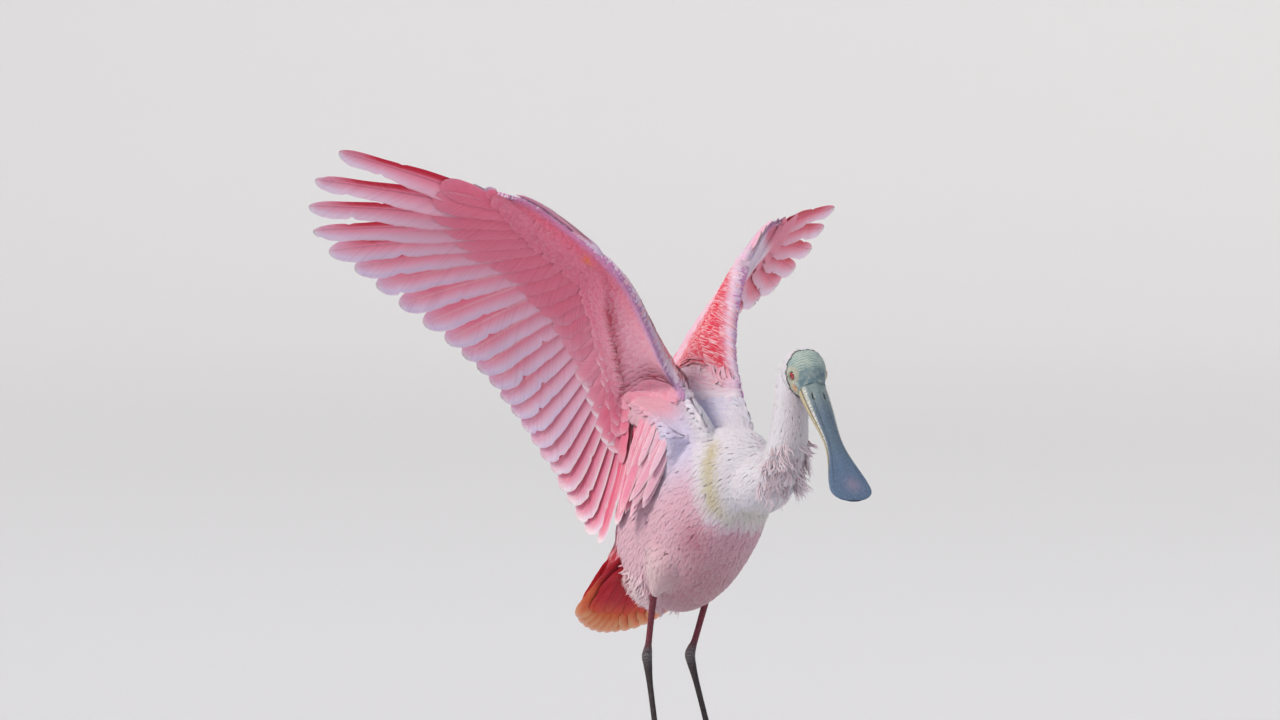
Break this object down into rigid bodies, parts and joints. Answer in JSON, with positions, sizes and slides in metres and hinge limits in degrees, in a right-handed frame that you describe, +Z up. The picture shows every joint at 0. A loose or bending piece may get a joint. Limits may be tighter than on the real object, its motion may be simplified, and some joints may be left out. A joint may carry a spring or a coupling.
{
  "type": "roseate spoonbill model",
  "caption": "Life-size standing roseate spoonbill with both wings raised and spread, feathers as overlapping vanes, a broad spoon-shaped bill and flat toes that carry it.",
  "frame": {"origin": "on the floor under the middle of the bird with its wings spread", "axes": "+Z up, the bird faces -Y, its left side is +X"},
  "size_m": [0.7186, 0.5374, 0.6513],
  "materials": {
    "back_feathers": "soft small feathers, white to pale pink",
    "wing_feathers": "smooth rose-pink feathers",
    "carmine_feathers": "loose carmine feathers",
    "tail_feathers": "smooth orange feathers",
    "neck_feathers": "short dense white feathers",
    "bald_skin": "bare wrinkled skin",
    "bill_horn": "smooth satin horn",
    "leg_skin": "scaled maroon skin",
    "toe_skin": "scaled dark skin",
    "claw_horn": "dark satin horn",
    "eye": "wet red gloss"
  },
  "bodies": {
    "root": {"torso": "back_feathers", "neck_lower": "neck_feathers", "neck_upper": "neck_feathers", "head": "bald_skin", "bill_upper": "bill_horn", "bill_lower": "bill_horn", "eye_right": "eye", "eye_left": "eye", "tail": "tail_feathers", "wing_right_hand": "wing_feathers", "wing_right_forearm": "wing_feathers", "wing_right_upper_arm": "carmine_feathers", "wing_right_alula": "wing_feathers", "thigh_right": "back_feathers", "shank_right": "leg_skin", "tarsus_right": "leg_skin", "foot_right": "toe_skin", "claw_right_1": "claw_horn", "claw_right_2": "claw_horn", "claw_right_3": "claw_horn", "claw_right_4": "claw_horn", "wing_left_hand": "wing_feathers", "wing_left_forearm": "wing_feathers", "wing_left_upper_arm": "carmine_feathers", "wing_left_alula": "wing_feathers", "thigh_left": "back_feathers", "shank_left": "leg_skin", "tarsus_left": "leg_skin", "foot_left": "toe_skin", "claw_left_1": "claw_horn", "claw_left_2": "claw_horn", "claw_left_3": "claw_horn", "claw_left_4": "claw_horn"}
  },
  "joints": []
}
